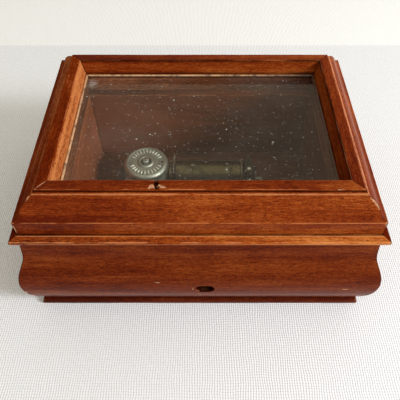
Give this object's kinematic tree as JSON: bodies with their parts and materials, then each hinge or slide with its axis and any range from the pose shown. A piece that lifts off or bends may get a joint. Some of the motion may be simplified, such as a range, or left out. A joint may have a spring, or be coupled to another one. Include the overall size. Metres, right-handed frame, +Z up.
{
  "type": "wind-up music box",
  "caption": "Wooden music box with ogee sides, a hinged lid glazed like a picture frame, and a wound comb and cylinder movement inside.",
  "frame": {"origin": "centre of the plinth underside, on the surface the box stands on", "axes": "+X along the long side to the right, +Y to the back where the lid is hinged, +Z up"},
  "size_m": [0.1918, 0.1438, 0.087],
  "materials": {
    "mahogany": "red-brown stained hardwood, satin gloss varnish",
    "bead_wood": "stained hardwood, satin",
    "board": "thin board, matt stain",
    "glass": "clear float glass, polished",
    "hinge_brass": "satin brass",
    "brass_screws": "turned brass",
    "brass": "polished brass",
    "cylinder_brass": "aged brass",
    "steel": "bright steel",
    "steel_screws": "zinc plated steel",
    "spring_steel": "blued spring steel",
    "comb_steel": "ground hardened steel",
    "nickel": "satin nickel plate",
    "key_nickel": "bright nickel plate",
    "plated_bed": "dull gold-bronze lacquered casting"
  },
  "bodies": {
    "case": {"bedplate": "plated_bed", "board_screws": "steel_screws", "bottom_board": "board", "bracket_rivets": "brass", "case_hinge_leaves": "hinge_brass", "case_hinge_screws": "brass_screws", "click_spring": "spring_steel", "click_stud": "steel", "comb": "comb_steel", "comb_block": "plated_bed", "comb_screws": "steel_screws", "governor_cap": "key_nickel", "governor_frame": "plated_bed", "hinge_pins": "steel", "left_bracket": "plated_bed", "movement_screws": "steel_screws", "plinth_back": "mahogany", "plinth_front": "mahogany", "plinth_left": "mahogany", "plinth_right": "mahogany", "rim_back": "mahogany", "rim_front": "mahogany", "rim_left": "mahogany", "rim_right": "mahogany", "slide_screws": "brass_screws", "wall_back": "mahogany", "wall_front": "mahogany", "wall_left": "mahogany", "wall_right": "mahogany"},
    "lid": {"lid_rail_front": "mahogany", "lid_rail_back": "mahogany", "lid_rail_left": "mahogany", "lid_rail_right": "mahogany", "glass_pane": "glass", "glass_bead_front": "bead_wood", "glass_bead_back": "bead_wood", "glass_bead_left": "bead_wood", "glass_bead_right": "bead_wood", "lid_hinge_leaves": "hinge_brass", "lid_hinge_screws": "brass_screws"},
    "barrel": {"barrel_drum": "nickel", "barrel_cover": "nickel", "mainspring": "spring_steel"},
    "winding": {"winding_arbor": "steel", "ratchet_wheel": "steel", "winding_key": "key_nickel"},
    "click": {"click": "steel"},
    "cylinder": {"cylinder_tube": "cylinder_brass", "cylinder_end_caps": "brass", "cylinder_arbor": "steel", "drive_gear": "brass", "cylinder_wheel": "brass"},
    "governor": {"governor_arbor": "steel", "governor_pinion": "steel", "worm_wheel": "brass"},
    "fly": {"worm_shaft": "steel", "fly": "brass"},
    "stop_slide": {"stop_slide": "steel"}
  },
  "joints": [
    {"name": "lid_hinge", "type": "hinge", "parent": "case", "child": "lid", "pos_m": [0, 0.0656, 0.0662], "axis": [-1, 0, 0], "range_deg": [0, 95]},
    {"name": "barrel_spin", "type": "hinge", "parent": "case", "child": "barrel", "pos_m": [-0.0342, 0.01275, 0.025], "axis": [0, 0, 1], "continuous": true},
    {"name": "winding_turn", "type": "hinge", "parent": "case", "child": "winding", "pos_m": [-0.0342, 0.01275, 0.02], "axis": [0, 0, 1], "continuous": true},
    {"name": "click_rock", "type": "hinge", "parent": "case", "child": "click", "pos_m": [-0.0422, 0.01935, 0.0136], "axis": [0, 0, 1], "range_deg": [0, 8], "stiffness_Nm_per_rad": 0.0005, "springref_deg": -11.46},
    {"name": "cylinder_spin", "type": "hinge", "parent": "case", "child": "cylinder", "pos_m": [0.005, 0.01275, 0.02451], "axis": [1, 0, 0], "continuous": true},
    {"name": "governor_spin", "type": "hinge", "parent": "case", "child": "governor", "pos_m": [0.031, 0.00285, 0.0202], "axis": [1, 0, 0], "continuous": true},
    {"name": "fly_spin", "type": "hinge", "parent": "case", "child": "fly", "pos_m": [0.0312, 0.009, 0.025], "axis": [0, 0, 1], "continuous": true},
    {"name": "stop_travel", "type": "slide", "parent": "case", "child": "stop_slide", "axis": [1, 0, 0], "range_m": [0, 0.0048]}
  ],
  "couplings": [
    {"joint": "cylinder_spin", "follows": "barrel_spin", "ratio": 1.8571},
    {"joint": "governor_spin", "follows": "barrel_spin", "ratio": -7.4286},
    {"joint": "fly_spin", "follows": "barrel_spin", "ratio": 178.29}
  ]
}
